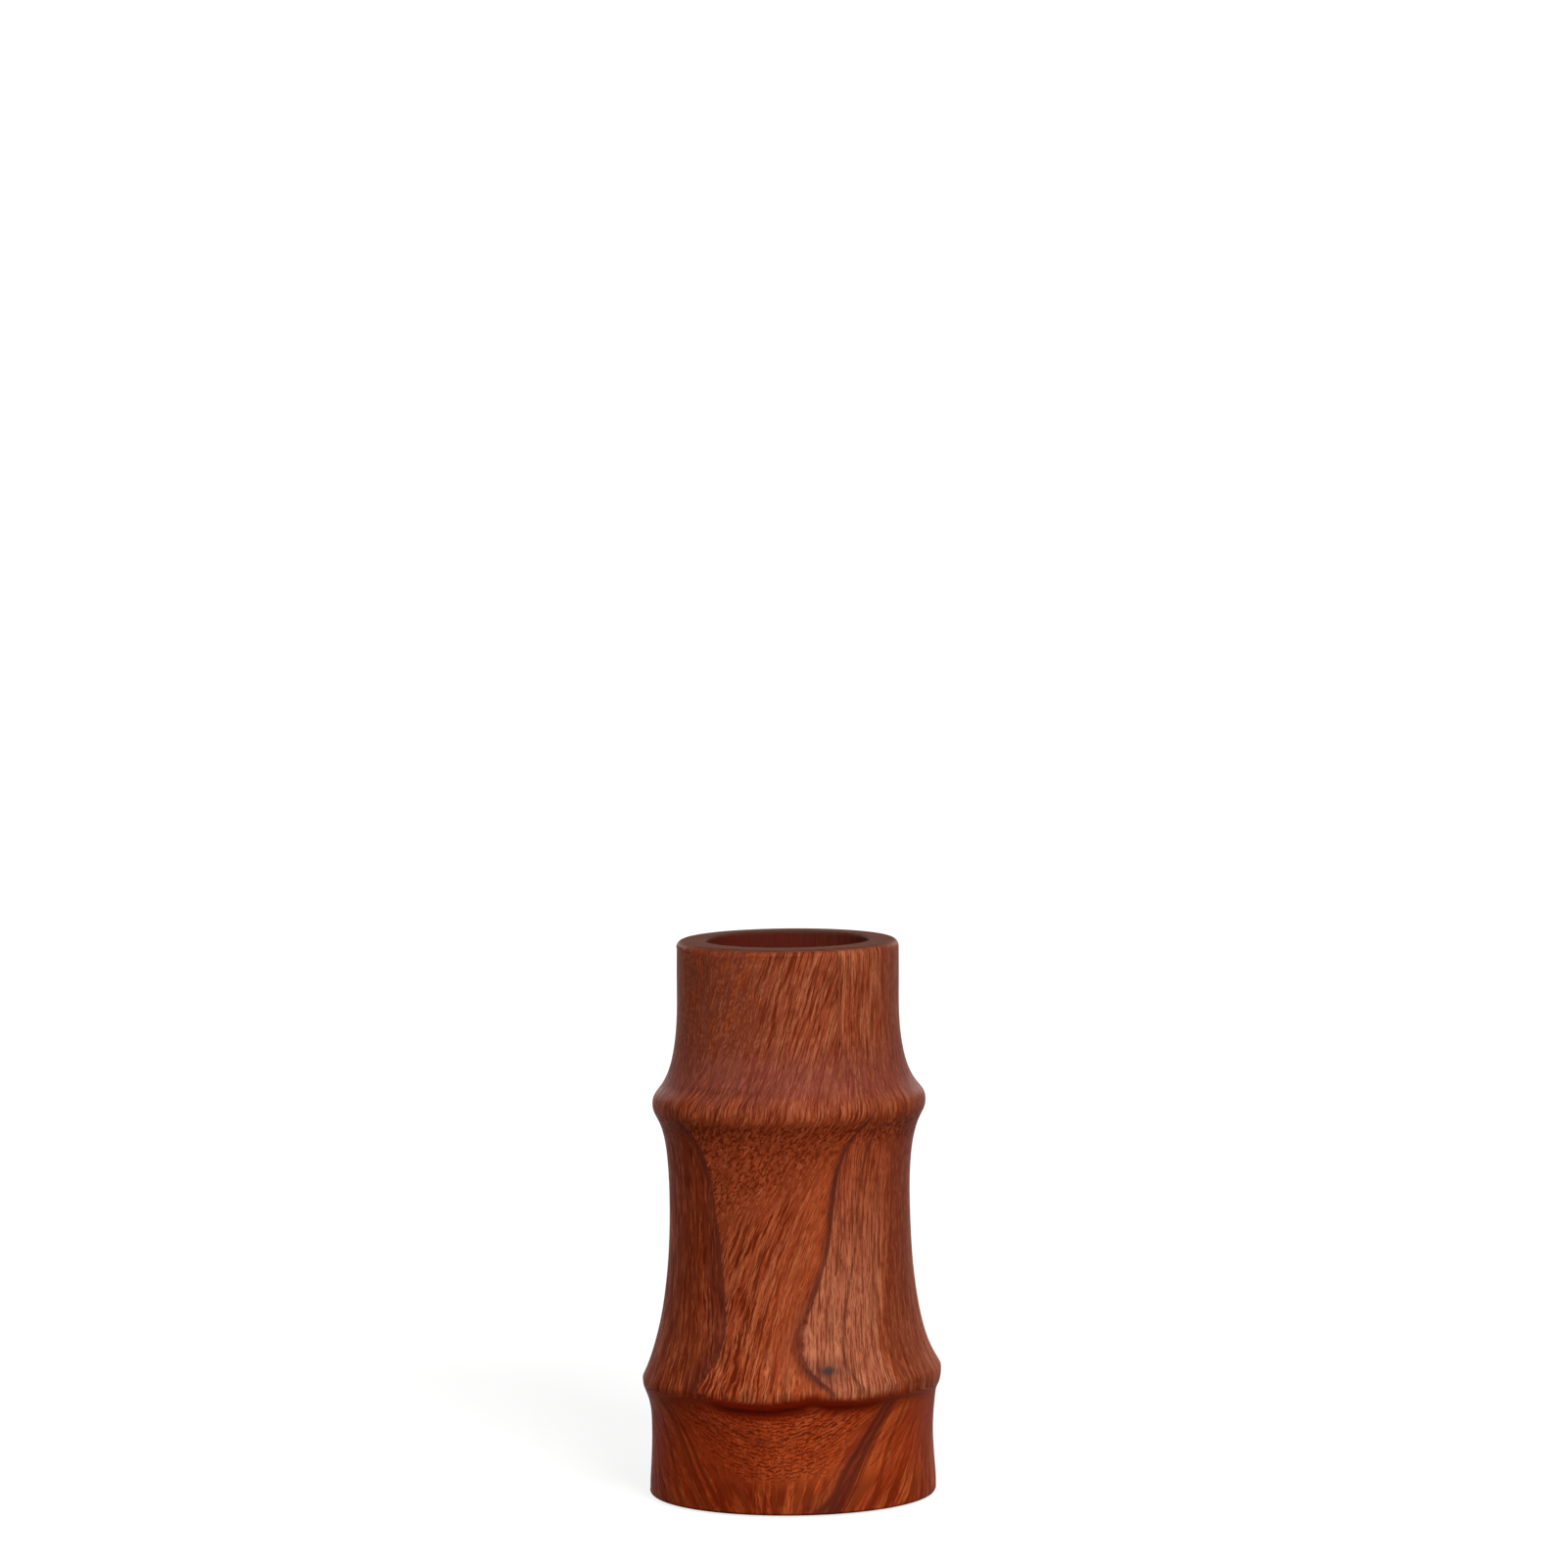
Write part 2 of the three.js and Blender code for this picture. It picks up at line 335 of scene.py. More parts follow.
def cut_under_lip(piece, sizes):
    """Cuts the wood in under the low ring, deepest just below the lip, and marks a painted shade there."""
    cut = piece.vertex_groups.new(name="lip")
    shades = piece.data.attributes.new(PAINTED_LIP_SHADE, "FLOAT", "POINT")
    for vertex in piece.data.vertices:
        if outside(vertex.co, sizes):
            height, depth = lip_at(vertex.co)
            below = height - vertex.co.z
            weight = depth * smooth_step(1 - below / LIP_REACH)
            cut.add([vertex.index], weight * smooth_step(below / LIP_EDGE), "REPLACE")
            # painted shade: setting in above the lip, full at it, fading out below
            shades.data[vertex.index].value = weight * smooth_step(1 + below / LIP_SHADE)
    displace = piece.modifiers.new("lip", "DISPLACE")
    displace.strength = -sizes.lip_cut
    displace.mid_level = 0
    displace.vertex_group = cut.name
    bpy.ops.object.modifier_apply(modifier=displace.name)


def waver_side(piece, sizes):
    """Lets the side stray a little from true, as hand sanding does, while the bore stays round."""
    side = piece.vertex_groups.new(name="side")
    low, high = BODY_LOW.z + sizes.foot_edge, BODY_HIGH.z - sizes.rim_edge
    chosen = [v.index for v in piece.data.vertices if outside(v.co, sizes) and low < v.co.z < high]
    side.add(chosen, 1.0, "REPLACE")
    clouds = bpy.data.textures.new("hand_waver", "CLOUDS")
    clouds.noise_scale = WAVER_SIZE
    clouds.noise_depth = 1
    displace = piece.modifiers.new("hand_waver", "DISPLACE")
    displace.texture = clouds
    displace.texture_coords = "LOCAL"
    displace.strength = 2 * sizes.hand_waver
    displace.vertex_group = side.name
    bpy.ops.object.modifier_apply(modifier=displace.name)


class VASE_OT_body(bpy.types.Operator):
    """Turn the wooden body and leave the marks of the hand on it"""
    bl_idname = "vase.body"
    bl_label = "Wooden Body"

    def execute(self, context):
        sizes = context.scene.vase_sizes
        piece = lathe_piece("turned_body", body_outline(sizes), sizes.body_sides, steps=26, closed=True)
        tip_ring(piece, sizes, sizes.low_ring_height, sizes.low_ring_tilt)
        tip_ring(piece, sizes, sizes.high_ring_height, sizes.high_ring_tilt)
        waver_side(piece, sizes)
        cut_under_lip(piece, sizes)
        finish_piece(piece, oiled_padauk(), "vase", "red_hardwood", "vase_body")
        return {"FINISHED"}


# Base disc

class VASE_OT_base_disc(bpy.types.Operator):
    """Turn the disc that closes the foot"""
    bl_idname = "vase.base_disc"
    bl_label = "Base Disc"

    def execute(self, context):
        chamfer = context.scene.vase_sizes.disc_chamfer
        radius = DISC_HIGH.x
        outline = [
            corner(0, DISC_LOW.z),
            corner(radius - chamfer, DISC_LOW.z),
            corner(radius, DISC_LOW.z + chamfer),
            corner(radius, DISC_HIGH.z),
            corner(0, DISC_HIGH.z),
        ]
        piece = lathe_piece("base_disc_wood", outline, sides=128, steps=6, closed=False)
        finish_piece(piece, planed_padauk(), "vase", "red_hardwood", "base_disc")
        return {"FINISHED"}


# Cork cushion

class VASE_OT_cushion(bpy.types.Operator):
    """Cut the cork cushion that the liner stands on"""
    bl_idname = "vase.cushion"
    bl_label = "Cork Cushion"

    def execute(self, context):
        sizes = context.scene.vase_sizes
        piece = cut_disc(
            "cork_cushion", CUSHION_HIGH.x, CUSHION_LOW.z, CUSHION_HIGH.z,
            sides=96, edge_round=sizes.cork_round)
        finish_piece(piece, pressed_cork(), "vase", "cork", "liner_cushion")
        return {"FINISHED"}


# Glass liner

def liner_outline(sizes):
    """Half section of the liner: up its outside, over the round lip and down to the middle of its floor."""
    wall, heel, hollow = sizes.glass_wall, sizes.heel_round, sizes.hollow_round
    lip_outer = LINER_HIGH.x
    lip_inner = lip_outer - wall
    outer = lip_outer - sizes.lip_flare
    inner = outer - wall
    foot = LINER_LOW.z
    floor = foot + sizes.glass_floor
    lip_round = wall / 2
    lip_height = LINER_HIGH.z - lip_round
    sweep_foot = lip_height - sizes.lip_sweep
    sweep = sizes.lip_sweep / 2
    heel_handle = ROUND_HANDLE * heel
    hollow_handle = ROUND_HANDLE * hollow
    lip_handle = ROUND_HANDLE * lip_round
    return [
        corner(0, foot),
        ((outer - heel, foot), (0, 0), (heel_handle, 0)),
        ((outer, foot + heel), (0, -heel_handle), (0, 0)),
        ((outer, sweep_foot), (0, 0), (0, sweep)),
        ((lip_outer, lip_height), (0, -sweep), (0, lip_handle)),
        ((lip_outer - lip_round, LINER_HIGH.z), (lip_handle, 0), (-lip_handle, 0)),
        ((lip_inner, lip_height), (0, lip_handle), (0, -sweep)),
        ((inner, sweep_foot), (0, sweep), (0, 0)),
        ((inner, floor + hollow), (0, 0), (0, -hollow_handle)),
        ((inner - hollow, floor), (hollow_handle, 0), (0, 0)),
        corner(0, floor),
    ]


class VASE_OT_liner(bpy.types.Operator):
    """Blow the glass water liner"""
    bl_idname = "vase.liner"
    bl_label = "Water Liner"

    def execute(self, context):
        sizes = context.scene.vase_sizes
        piece = lathe_piece("glass_liner", liner_outline(sizes), sides=128, steps=10, closed=False)
        finish_piece(piece, blown_glass(), "liner", "clear_glass", "water_liner")
        return {"FINISHED"}


# Felt pads

class VASE_OT_pads(bpy.types.Operator):
    """Cut the felt pads and stick them under the foot"""
    bl_idname = "vase.pads"
    bl_label = "Felt Pads"

    def execute(self, context):
        sizes = context.scene.vase_sizes
        radius = (PAD_HIGH.x - PAD_LOW.x) / 2
        thickness = PAD_HIGH.z - PAD_LOW.z
        pattern = cut_disc("felt_pad", radius, 0, thickness, sides=48, edge_round=sizes.pad_round)
        felt = wool_felt()
        for i, node in enumerate(PAD_NAMES):
            low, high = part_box(node)
            bpy.ops.object.select_all(action="DESELECT")
            pattern.select_set(True)
            context.view_layer.objects.active = pattern
            bpy.ops.object.duplicate(linked=False)
            pad = context.object
            pad.name = f"felt_pad_{i + 1}"
            pad.location = ((low.x + high.x) / 2, (low.y + high.y) / 2, low.z)
            bpy.ops.object.transform_apply(location=True, rotation=True, scale=True)
            finish_piece(pad, felt, "vase", "brown_felt", node)
        bpy.data.objects.remove(pattern)
        return {"FINISHED"}


# Shared steps of the finishes

def fill(tree, node, inputs):
    """Fills a node's inputs with values, sockets or the first outputs of other nodes."""
    for key, value in inputs.items():
        named = (s for s in node.inputs if s.enabled and s.name == key)
        socket = node.inputs[key] if isinstance(key, int) else next(named)
        if isinstance(value, bpy.types.Node):
            value = next(s for s in value.outputs if s.enabled)
        if isinstance(value, bpy.types.NodeSocket):
            tree.links.new(value, socket)
        else:
            socket.default_value = value


def add(tree, kind, inputs=None, **settings):
    """Adds a shader node with its settings, and fills its inputs."""
    node = tree.nodes.new("ShaderNode" + kind)
    for name, value in settings.items():
        setattr(node, name, value)
    fill(tree, node, inputs or {})
    return node


def new_finish(name):
    """Starts a material with a Principled shader on its output, and returns both with the node tree."""
    material = bpy.data.materials.new(name)
    material.use_nodes = True
    tree = material.node_tree
    tree.nodes.clear()
    shader = add(tree, "BsdfPrincipled")
    add(tree, "OutputMaterial", {"Surface": shader})
    return material, tree, shader


def rgba(colour_value):
    """A colour with its alpha, as a colour socket takes it."""
    return (*colour_value, 1)


def where(tree, *limits):
    """A mask of the places that keep all the limits. A limit is a mask, a weight, or a measure with
    the values at which the mask is empty and full."""
    mask = None
    for limit in limits:
        if isinstance(limit, tuple):
            measure, empty, full = limit
            limit = add(tree, "MapRange", {"Value": measure, "From Min": empty, "From Max": full},
                        interpolation_type="SMOOTHSTEP")
        mask = limit if mask is None else add(tree, "Math", {0: mask, 1: limit}, operation="MULTIPLY")
    return mask


def either(tree, *masks):
    """A mask of the places that any of the masks covers."""
    most = masks[0]
    for mask in masks[1:]:
        most = add(tree, "Math", {0: most, 1: mask}, operation="MAXIMUM")
    return most


def lay(tree, ground, *layers):
    """Lays colours over the ground one by one, each where its mask is set."""
    for mask, colour_value in layers:
        ground = add(tree, "Mix", {"Factor": mask, "A": ground, "B": rgba(colour_value)}, data_type="RGBA")
    return ground


def grain(tree, place, size, seed):
    """Noise whose grains have this size along the three directions of the place."""
    shares = [1 / s for s in size]
    scaled = add(tree, "VectorMath", {0: place, 1: shares, 2: (seed, seed, seed)}, operation="MULTIPLY_ADD")
    return add(tree, "TexNoise", {"Vector": scaled, "Scale": 1, "Detail": 3, "Roughness": 0.6})


# Hardwood: its sizes and heights are in mm, and depths are counted outwards through the growth layers

LAYER_AZIMUTH = 8.86    # degrees: the growth layers face this far to the left of the front
LAYER_DIP = 0.255       # depth that the layers gain for each mm of height near the foot
LAYER_RISE = 25.9       # depth after which they stand upright
LAYER_BEND = 18.41      # depth over which they bend upright
LAYER_TWIST = 0.065     # how far they turn to the left just above the low ring
LAYER_WAVER = 0.9       # how far they stray
PITH_DISTANCE = 153     # to the middle of the tree, which bows the layers
NECK_SHIFT = 4.7        # step of the layers above the high ring
MAIN_LINE = 70.16       # depth of the dark line that frames the front of the waist
SECOND_LINE = 65.0      # depth of a soft line behind it
ARC_LINE = 65.9         # depth of the fine arc in the middle of the foot
BAND_LINE = 58.4        # depth of the purplish band on the foot
PLAIN_LINE = 54.0       # depth past which the right side is plain
FIBRE_RADIUS = 50       # the fibres are drawn on a drum of this size, so that they run on through the rings
FRONT_FOOT = 60         # height from which the front's fibres sweep to the right
FRONT_LEAN = 0.12       # their sideways run for each mm of height there
FRONT_SWEEP = 0.0026    # and how it grows with the height
NECK_LEAN = 0.33
NECK_START = -16        # sideways place of the neck's fibres at the foot
SIDE_LEAN = 0.06
FOOT_GATHER = 0.015     # how much more the foot's fibres lean for each mm across
RIPPLE_PITCH = 1.6      # from one ripple of the foot to the next
RIPPLE_SAG = 1 / 90     # how the rows of ripples hang down at the sides
WAVE_PERIOD = math.tau / 20   # of a wave texture at scale 1
KNOT_PLACE = (23.0, 59.6, 0)  # across and up
KNOT_SIZE = (3.6, 2.2, 1)     # half of its width and height

# Sizes of the grain's marks, across the fibres and along them
PALE_STREAK = (1.8, 1.8, 24)
PALE_HAIR = (0.45, 0.45, 5)
DARK_STREAK = (2.8, 2.8, 26)
STROKE = (0.85, 0.85, 14)
DARK_HAIR = (0.4, 0.4, 4)
SPECK = (1.2, 1.2, 1.7)
FLAME = (4.2, 4.2, 26)
PATCH = (5, 5, 15)
PORE = (1.8, 1.8, 9)    # wider than real pores, so that they show
RIPPLE = (1.8, 1, 0.9)
LAYER_COMB = (1, 1.2, 1)
LAYER_SWELL = (14, 14, 30)
FIBRE_SWAY = (8, 8, 22)
LINE_WEAR = (9, 9, 40)
PLANED_STREAK = (4, 4, 70)
PLANED_STROKE = (1.2, 1.2, 24)

# Roughness of the oiled wood, and how little it shines
SMOOTH_WOOD = 0.38
MARKED_WOOD = 0.52
END_WOOD = 0.65
OIL_SHINE = 0.009


def billet_place(tree):
    """Where a point lies in the billet: across it, in depth through the growth layers, and in height."""
    coords = add(tree, "TexCoord").outputs["Object"]
    turned = (0, 0, math.radians(LAYER_AZIMUTH))
    place = add(tree, "Mapping", {"Vector": coords, "Rotation": turned, "Scale": (1 / MM, 1 / MM, 1 / MM)})
    across, back, along = add(tree, "SeparateXYZ", {"Vector": place}).outputs
    climb = add(tree, "Math", {0: along, 1: LAYER_DIP}, operation="MULTIPLY")
    depth = add(tree, "Math", {0: climb, 1: LAYER_RISE, 2: LAYER_BEND}, operation="SMOOTH_MIN")
    bow = add(tree, "Math", {0: across, 1: across}, operation="MULTIPLY")
    swell = grain(tree, place, LAYER_SWELL, seed=3.7)
    waver = add(tree, "Math", {0: swell, 1: 0.5}, operation="SUBTRACT")
    terms = (
        (back, -1),
        (bow, 0.5 / PITH_DISTANCE),
        (where(tree, (along, 160, 172)), NECK_SHIFT),
        (where(tree, across, (along, 120, 60), (along, 46, 54)), -LAYER_TWIST),
        (waver, LAYER_WAVER),
    )
    for term, factor in terms:
        depth = add(tree, "Math", {0: term, 1: factor, 2: depth}, operation="MULTIPLY_ADD")
    flat = add(tree, "VectorMath", {0: place, 1: (1, 1, 0)}, operation="MULTIPLY")
    return SimpleNamespace(place=place, across=across, depth=depth, along=along, flat=flat)


def layer_line(tree, depth, at, half_width):
    """A line where one growth layer comes to the surface."""
    off = add(tree, "Math", {0: depth, 1: at}, operation="SUBTRACT")
    distance = add(tree, "Math", {0: off}, operation="ABSOLUTE")
    return where(tree, (distance, half_width, 0))


def figure_zones(tree, billet):
    """Masks of the parts of the figure and of the places of painted shade and sheen, each bounded by heights,
    by places across or by depths.
    """
    across, depth, along = billet.across, billet.depth, billet.along
    radius = add(tree, "VectorMath", {0: billet.flat}, operation="LENGTH").outputs["Value"]
    zones = SimpleNamespace(
        front=where(tree, (depth, MAIN_LINE - 0.2, MAIN_LINE + 0.2)),
        behind=where(tree, (depth, MAIN_LINE + 0.2, MAIN_LINE - 0.2)),
        back=where(tree, (depth, 40, 25)),
        right=where(tree, (across, -12, 16)),
        left=where(tree, (across, 8, -14)),
        side=where(tree, (along, 1.0, 1.8), (along, 229.6, 228.8)),
        end=either(tree, where(tree, (along, 228.6, 229.8)), where(tree, (along, 1.7, 1.1))),
        sole=where(tree, (along, 25, 9)),
        foot=where(tree, (along, 48, 44)),
        above_foot=where(tree, (along, 46, 52)),
        # where painted shade falls under the high ring
        painted_shade_under_ring=where(tree, (along, 138, 156), (along, 165, 159)),
        below_neck=where(tree, (along, 162, 154)),
        neck=where(tree, (along, 158, 168)),
        # the cove above the high ring, where a painted sheen lies
        cove=where(tree, (along, 164, 174), (along, 197, 177)),
        # painted shade along the crease between the cove and the high ring
        painted_crease_shade=where(tree, (along, 169.5, 172.5), (along, 175, 172), (across, 14, -8)),
        # the rim's end grain, darker and greyed by a painted sheen
        rim=where(tree, (along, 228, 230)),
        # the bore, where painted shade darkens the wood
        bore=where(tree, (radius, 35, 34)),
        # painted shade under the low ring's lip, read from the mesh
        painted_lip_shade=where(tree, (add(tree, "Attribute", attribute_name=PAINTED_LIP_SHADE).outputs["Fac"], 0, 0.75)),
    )
    zones.bowl = where(tree, zones.foot, (across, -50, -34), (across, 50, 34), (along, 7, 19),
                       (depth, BAND_LINE - 1, BAND_LINE + 4))
    zones.flank = where(tree, zones.foot, (depth, BAND_LINE - 13, BAND_LINE - 9),
                        (depth, BAND_LINE + 3, BAND_LINE - 1))
    zones.shaded = where(tree, zones.behind, zones.left, zones.above_foot, zones.below_neck)
    zones.plain = where(tree, (depth, PLAIN_LINE + 2, PLAIN_LINE - 2), (depth, 25, 40), zones.right,
                        zones.above_foot)
    zones.pale = where(tree, (depth, PLAIN_LINE, PLAIN_LINE + 4), zones.behind, zones.right, zones.above_foot,
                       (along, 165, 80))
    zones.warm = where(tree, (depth, MAIN_LINE + 5, MAIN_LINE + 1), zones.front, zones.right,
                       zones.above_foot, zones.below_neck)
    zones.neck_left = where(tree, zones.neck, zones.left, zones.side)
    slope = add(tree, "Math", {0: across, 1: -0.55, 2: along}, operation="MULTIPLY_ADD")
    triangle = where(tree, zones.front, (slope, 118, 140))
    hollow = where(tree, either(tree, triangle, where(tree, (along, 146, 153))), (along, 163, 158),
                   (depth, 5, 30))
    zones.speckled = either(tree, hollow, where(tree, zones.neck_left, (along, 182, 190), 0.7))
    return zones


def fibre_place(tree, billet, zones):
    """Where a point lies among the fibres, which stand round a drum and drift sideways as they climb."""
    across, along = billet.across, billet.along
    facing = add(tree, "VectorMath", {0: billet.flat}, operation="NORMALIZE")
    drum = add(tree, "VectorMath", {0: facing, "Scale": FIBRE_RADIUS}, operation="SCALE")
    height = add(tree, "Math", {0: along, 1: FRONT_FOOT}, operation="SUBTRACT")
    lean = add(tree, "Math", {0: height, 1: FRONT_SWEEP, 2: FRONT_LEAN}, operation="MULTIPLY_ADD")
    front_run = add(tree, "Math", {0: height, 1: lean}, operation="MULTIPLY")
    neck_run = add(tree, "Math", {0: along, 1: NECK_LEAN, 2: NECK_START}, operation="MULTIPLY_ADD")
    side_lean = add(tree, "MapRange", {"Value": zones.right, "To Min": -SIDE_LEAN, "To Max": SIDE_LEAN})
    side_run = add(tree, "Math", {0: along, 1: side_lean}, operation="MULTIPLY")
    foot_run = where(tree, across, along, (billet.depth, 20, 50), FOOT_GATHER)
    run = front_run
    for zone, zone_run in ((zones.neck, neck_run), (zones.behind, side_run), (zones.foot, foot_run)):
        run = add(tree, "Mix", {"Factor": zone, "A": run, "B": zone_run})
    swing = grain(tree, billet.place, FIBRE_SWAY, seed=0.6)
    sway = add(tree, "Math", {0: swing, 1: 0.5}, operation="SUBTRACT")
    reach = add(tree, "MapRange", {"Value": zones.left, "To Min": 1.7, "To Max": 4.5})
    run = add(tree, "Math", {0: sway, 1: reach, 2: run}, operation="MULTIPLY_ADD")
    angle = add(tree, "Math", {0: run, 1: -1 / FIBRE_RADIUS}, operation="MULTIPLY")
    drum = add(tree, "VectorRotate", {"Vector": drum, "Angle": angle}, rotation_type="Z_AXIS")
    climb = add(tree, "CombineXYZ", {"Z": along})
    return add(tree, "VectorMath", {0: drum, 1: climb}, operation="ADD")


def wood_ground(tree, billet, zones, fibres):
    """The wood's ground colour: pale streaks on the red, and over them the tints of the zones, among them
    painted shade under the rings, along the crease, in the bore and on the foot's left, and a painted sheen
    in the cove and on the rim.
    """
    colours = bpy.context.scene.vase_colours
    weights = (
        add(tree, "MapRange", {"Value": zone, "To Min": elsewhere, "To Max": within})
        for zone, elsewhere, within in (
            (zones.right, 0.5, 0.85), (zones.shaded, 1, 0.7), (zones.foot, 1, 0.7))
    )
    height_weight = either(tree, where(tree, (billet.along, 165, 45)), where(tree, zones.neck, 0.85))
    streaks = where(
        tree, (grain(tree, fibres, PALE_STREAK, seed=4.3), 0.44, 0.6), *weights, zones.side, height_weight)
    flamed = either(tree, zones.sole, where(tree, zones.flank, 0.8))
    flames = where(tree, (grain(tree, fibres, FLAME, seed=7.7), 0.48, 0.56), flamed, 0.8)
    hairs = where(tree, (grain(tree, fibres, PALE_HAIR, seed=5.9), 0.5, 0.64), zones.side)
    patches = where(tree, (grain(tree, fibres, PATCH, seed=2.3), 0.5, 0.62), zones.neck_left, 0.75)
    neck_weight = add(tree, "MapRange", {"Value": zones.right, "To Min": 0.7, "To Max": 0.35})
    return lay(
        tree, rgba(colours.wood_red),
        (streaks, colours.wood_light),
        (where(tree, zones.pale, 0.42), colours.wood_pale),
        (where(tree, zones.shaded, 0.3), colours.wood_shade),
        (where(tree, zones.plain, 0.7), colours.wood_plain),
        (where(tree, zones.warm, 0.7), colours.wood_orange),
        (where(tree, zones.foot, 0.75), colours.wood_foot),
        (where(tree, zones.bowl, 0.22), colours.wood_flame),
        (flames, colours.wood_flame),
        # painted shade on the left side of the foot
        (where(tree, zones.foot, zones.left, 0.5), colours.painted_shade_wood),
        (where(tree, zones.neck, neck_weight), colours.wood_neck),
        (patches, colours.wood_orange),
        # painted sheen in the cove
        (where(tree, zones.cove, 0.65), colours.painted_sheen_wood),
        # painted shade along the crease above the high ring
        (where(tree, zones.painted_crease_shade, 0.4), colours.wood_line_and_painted_shade),
        # painted shade under the high ring
        (where(tree, zones.painted_shade_under_ring, 0.1), colours.painted_shade_wood),
        (where(tree, hairs, zones.above_foot, 0.35), colours.wood_light),
        (where(tree, hairs, zones.foot, 0.3), colours.wood_flame),
        # painted shade in the bore
        (where(tree, zones.bore, 0.9), colours.wood_line_and_painted_shade),
        # darker end grain on the rim, greyed by a painted sheen
        (where(tree, zones.rim, 0.75), colours.wood_end_and_painted_sheen),
        # painted shade under the low ring's lip
        (zones.painted_lip_shade, colours.painted_shade_wood),
    )


def foot_ripples(tree, billet):
    """A mask of the fine dark ripples that hang in rows in the middle of the foot."""
    bow = add(tree, "Math", {0: billet.across, 1: billet.across}, operation="MULTIPLY")
    row = add(tree, "Math", {0: bow, 1: -RIPPLE_SAG, 2: billet.along}, operation="MULTIPLY_ADD")
    stretched = add(tree, "Math", {0: billet.across, 1: 0.7}, operation="MULTIPLY")
    dish = add(tree, "CombineXYZ", {"X": stretched, "Z": row})
    wave = add(tree, "TexWave", {
        "Vector": dish, "Scale": WAVE_PERIOD / RIPPLE_PITCH, "Distortion": 9, "Detail": 2,
        "Detail Scale": 2.4, "Detail Roughness": 0.6}, bands_direction="Z")
    broken = grain(tree, dish, RIPPLE, seed=5.3)
    ripples = add(tree, "Math", {0: wave, 1: 0.35, 2: broken}, operation="MULTIPLY_ADD")
    return where(tree, (ripples, 0.78, 0.5))


def dark_figure(tree, billet, zones, fibres):
    """A mask of the dark marks along the fibres, and of the foot's ripples and combs."""
    quiet = either(
        tree, zones.end,
        where(tree, zones.behind, zones.right, 0.22),
        where(tree, zones.warm, 0.75),
        where(tree, zones.cove, 0.5),
        where(tree, zones.neck, 0.1),
        where(tree, zones.plain, 0.5),
        where(tree, either(tree, zones.bowl, zones.flank), 0.8),
        where(tree, zones.speckled, 0.5),
    )
    lively = add(tree, "Math", {0: 1, 1: quiet}, operation="SUBTRACT")
    streaked = either(tree, where(tree, zones.sole, 0.7), where(tree, zones.shaded, 0.65))
    combed = either(
        tree, where(tree, zones.flank, 0.75), where(tree, zones.back, 0.45), where(tree, zones.end, 0.5))
    layers = add(tree, "CombineXYZ", {"Y": billet.depth})
    return either(
        tree,
        where(tree, (grain(tree, fibres, STROKE, seed=9.1), 0.53, 0.41), lively, 0.92),
        where(tree, (grain(tree, fibres, DARK_HAIR, seed=1.7), 0.51, 0.38), zones.side, 0.6),
        where(tree, (grain(tree, fibres, SPECK, seed=2.9), 0.56, 0.42), zones.speckled, 0.85),
        where(tree, (grain(tree, fibres, DARK_STREAK, seed=3.1), 0.53, 0.45), streaked),
        where(tree, (grain(tree, layers, LAYER_COMB, seed=8.2), 0.52, 0.43), combed),
        where(tree, foot_ripples(tree, billet), zones.bowl, 0.85),
    )


def growth_lines(tree, billet, zones):
    """A mask of the dark growth lines and of the purplish band on the foot."""
    depth = billet.depth
    worn = where(tree, (grain(tree, billet.place, LINE_WEAR, seed=6.1), 0.35, 0.65))
    worn = add(tree, "MapRange", {"Value": worn, "To Min": 0.75})
    fainter_above = add(tree, "MapRange", {"Value": zones.neck, "To Min": 1, "To Max": 0.3})
    main = either(
        tree,
        where(tree, layer_line(tree, depth, MAIN_LINE, 0.35), 0.85),
        where(tree, (depth, MAIN_LINE - 3.5, MAIN_LINE), zones.behind, zones.left, 0.6),
        where(tree, (depth, MAIN_LINE + 1.3, MAIN_LINE), zones.front, zones.right, 0.95),
    )
    second = layer_line(tree, depth, SECOND_LINE, 0.6)
    return either(
        tree,
        where(tree, main, zones.above_foot, fainter_above, worn),
        where(tree, second, zones.below_neck, zones.above_foot, zones.right, worn, 0.55),
        where(tree, layer_line(tree, depth, ARC_LINE, 0.15), zones.bowl, worn, 0.7),
        where(tree, layer_line(tree, depth, BAND_LINE - 1.5, 3.5), zones.foot, zones.right, 0.65),
    )


def knot_reach(tree, billet):
    """How far a point lies from the middle of the small knot, as a share of the knot's size."""
    spot = add(tree, "CombineXYZ", {"X": billet.across, "Y": billet.along})
    spot = add(tree, "VectorMath", {0: spot, 1: KNOT_PLACE}, operation="SUBTRACT")
    spot = add(tree, "VectorMath", {0: spot, 1: KNOT_SIZE}, operation="DIVIDE")
    reach = add(tree, "VectorMath", {0: spot}, operation="LENGTH").outputs["Value"]
    not_in_front = where(tree, (billet.depth, 60, 40))
    return add(tree, "Math", {0: not_in_front, 1: 10, 2: reach}, operation="MULTIPLY_ADD")


def fine_pores(tree, place):
    """A mask of the open pores: fine dashes along the fibres."""
    cells = add(tree, "VectorMath", {0: place, 1: PORE}, operation="DIVIDE")
    cell = add(tree, "TexVoronoi", {"Vector": cells, "Scale": 1})
    return where(tree, (cell.outputs["Distance"], 0.2, 0.08))


def finish_wood(tree, shader, wood, dark, pores, end):
    """Oils the wood: a soft gloss that breaks in the dark marks and pores, and sinks into end grain."""
    colours = bpy.context.scene.vase_colours
    low = either(tree, dark, pores)
    gloss = add(tree, "MapRange", {"Value": low, "To Min": SMOOTH_WOOD, "To Max": MARKED_WOOD})
    fill(tree, shader, {
        "Base Color": lay(tree, wood, (where(tree, pores, 0.45), colours.wood_dark)),
        "Normal": add(tree, "Bump", {"Height": low, "Strength": 0.3, "Distance": 0.15 * MM}, invert=True),
        "Roughness": add(tree, "Mix", {"Factor": end, "A": gloss, "B": END_WOOD}),
        "Specular IOR Level": OIL_SHINE,
    })


